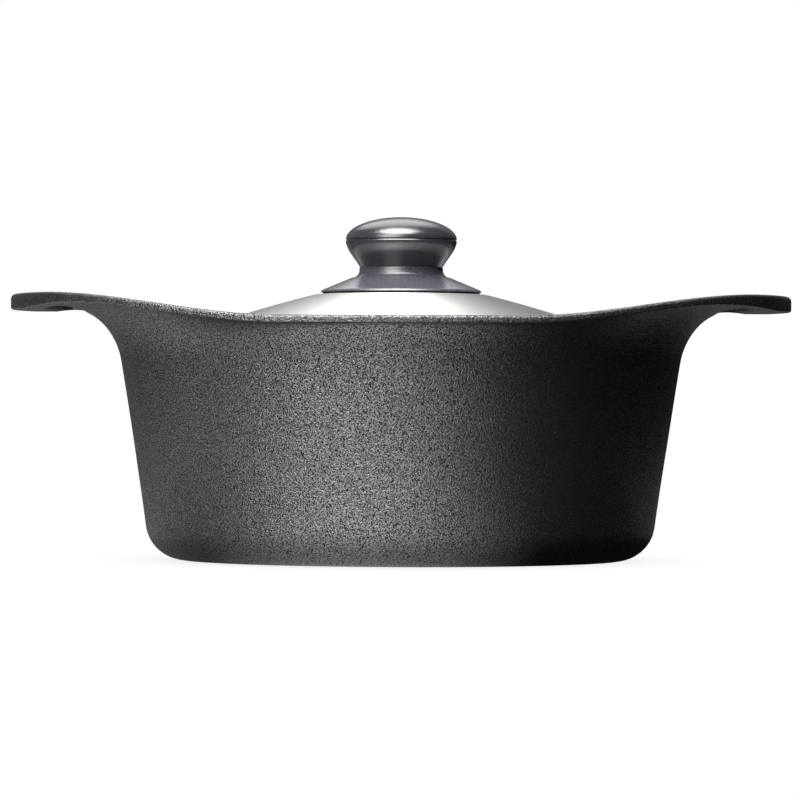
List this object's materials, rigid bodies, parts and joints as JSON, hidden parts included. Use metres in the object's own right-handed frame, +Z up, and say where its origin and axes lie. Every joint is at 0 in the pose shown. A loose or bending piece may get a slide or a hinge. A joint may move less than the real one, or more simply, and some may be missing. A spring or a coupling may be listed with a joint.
{
  "type": "cast iron dutch oven",
  "caption": "Round cast iron pot whose saddle rim flares into two slotted handles, with a drop-in domed stainless lid and a moulded knob.",
  "frame": {"origin": "centre of the flat base, on the surface it stands on", "axes": "+Z up, +X through the two handles, +Y towards the back rim"},
  "size_m": [0.315, 0.241, 0.1385],
  "materials": {
    "cast_iron": "matte black seasoned sand casting with a fine pebbled grain",
    "stainless": "satin, spun in circles",
    "phenolic": "charcoal heat-resistant moulding, satin",
    "gasket": "black, matte",
    "brass": "turned and knurled",
    "fastener": "bright plated steel"
  },
  "bodies": {
    "pot": {"pot_body": "cast_iron"},
    "lid": {"lid_shell": "stainless", "knob_gasket": "gasket", "knob_skirt": "phenolic", "knob_grip": "phenolic", "knob_insert": "brass", "knob_screw": "fastener", "flat_washer": "fastener", "spring_washer": "fastener"}
  },
  "joints": [
    {"name": "lid_lift", "type": "slide", "parent": "pot", "child": "lid", "axis": [0, 0, 1], "range_m": [0, 0.15]}
  ]
}
